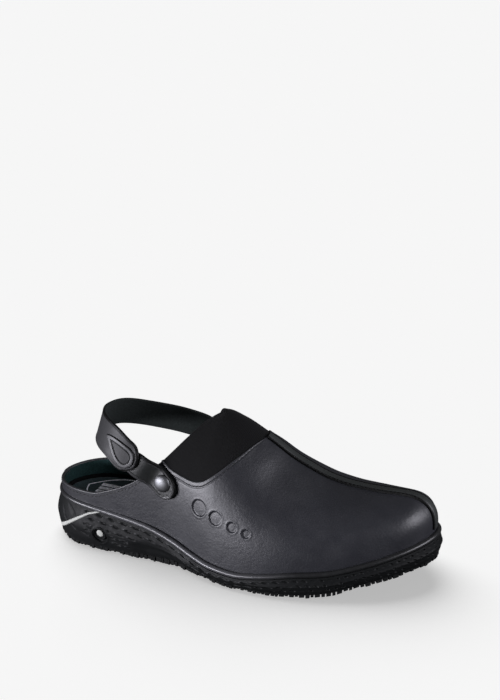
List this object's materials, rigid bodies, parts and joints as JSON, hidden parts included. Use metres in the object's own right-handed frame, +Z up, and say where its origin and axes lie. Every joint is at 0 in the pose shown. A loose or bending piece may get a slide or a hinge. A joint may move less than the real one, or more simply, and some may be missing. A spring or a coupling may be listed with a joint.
{
  "type": "chef clog",
  "caption": "Right-foot closed-toe leather work clog with an elastic instep panel, a sunk-disc side, a heel strap on snap caps and a moulded slip-resistant sole.",
  "frame": {"origin": "on the floor, under the middle of the sole's outline", "axes": "+X towards the toe, +Y towards the inner side of the foot, +Z up"},
  "size_m": [0.28, 0.1052, 0.1054],
  "materials": {
    "outsole": "matt, fine texture",
    "midsole": "satin moulded foam",
    "insole": "matt",
    "upper": "satin",
    "instep_panel": "matt, ribbed",
    "centre_tape": "satin",
    "strap_long": "satin",
    "strap_short": "satin",
    "cap_outer": "dark polished",
    "cap_inner": "dark polished",
    "drop_patch": "satin",
    "sole_stripe": "satin",
    "sole_button": "satin"
  },
  "bodies": {
    "root": {"outsole": "outsole", "midsole": "midsole", "insole": "insole", "upper": "upper", "instep_panel": "instep_panel", "centre_tape": "centre_tape", "strap_long": "strap_long", "strap_short": "strap_short", "cap_outer": "cap_outer", "cap_inner": "cap_inner", "drop_patch": "drop_patch", "sole_stripe": "sole_stripe", "sole_button": "sole_button"}
  },
  "joints": []
}
